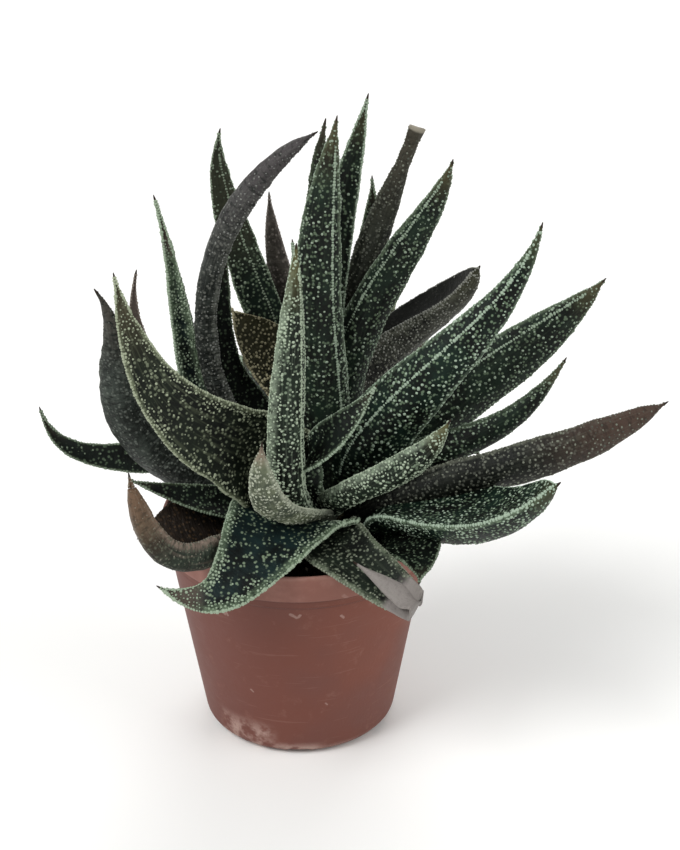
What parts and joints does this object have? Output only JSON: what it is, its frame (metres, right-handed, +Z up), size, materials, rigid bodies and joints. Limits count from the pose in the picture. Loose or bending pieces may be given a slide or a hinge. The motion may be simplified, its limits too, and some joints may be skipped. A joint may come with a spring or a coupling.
{
  "type": "potted haworthia",
  "caption": "Rosette of long, thick, channelled leaves with raised pale warts on a short stem, in soil, in a round tapered pot with a banded rim.",
  "frame": {"origin": "middle of the pot's flat underside", "axes": "+Z up, -Y the side that faces the viewer in the picture, +X to the viewer's right"},
  "size_m": [0.232, 0.1697, 0.248],
  "materials": {
    "pot": "thin moulded, satin, lightly scuffed",
    "soil": "loose and matt",
    "stem": "dull",
    "leaf_green": "near-black green skin with raised white warts",
    "leaf_teal": "blue-green skin with raised white warts",
    "leaf_dark": "very dark green skin",
    "leaf_olive": "olive-green skin with pale warts",
    "leaf_pale": "pale green, densely warty skin",
    "leaf_grey": "dry grey-brown skin with fine wrinkles",
    "leaf_brown": "brown wrinkled back, dark hollow",
    "leaf_red": "dry red-brown skin"
  },
  "bodies": {
    "root": {"pot": "pot", "soil": "soil", "stem": "stem", "leaf_01": "leaf_green", "leaf_02": "leaf_pale", "leaf_03": "leaf_pale", "leaf_04": "leaf_green", "leaf_05": "leaf_green", "leaf_06": "leaf_teal", "leaf_07": "leaf_green", "leaf_08": "leaf_green", "leaf_09": "leaf_dark", "leaf_10": "leaf_grey", "leaf_11": "leaf_dark", "leaf_12": "leaf_brown", "leaf_13": "leaf_grey", "leaf_14": "leaf_green", "leaf_15": "leaf_green", "leaf_16": "leaf_green", "leaf_17": "leaf_grey", "leaf_18": "leaf_grey", "leaf_19": "leaf_green", "leaf_20": "leaf_dark", "leaf_21": "leaf_grey", "leaf_22": "leaf_grey", "leaf_23": "leaf_dark", "leaf_24": "leaf_dark", "leaf_25": "leaf_teal", "leaf_26": "leaf_red", "leaf_27": "leaf_dark", "leaf_28": "leaf_olive", "leaf_29": "leaf_olive", "leaf_30": "leaf_grey", "leaf_31": "leaf_dark", "leaf_32": "leaf_green", "leaf_33": "leaf_green", "leaf_34": "leaf_olive", "leaf_35": "leaf_green", "leaf_36": "leaf_teal", "leaf_37": "leaf_green", "leaf_38": "leaf_grey", "leaf_39": "leaf_green", "leaf_40": "leaf_teal", "leaf_41": "leaf_green", "leaf_42": "leaf_grey", "leaf_43": "leaf_green", "leaf_44": "leaf_dark", "leaf_45": "leaf_green", "leaf_46": "leaf_brown"}
  },
  "joints": []
}
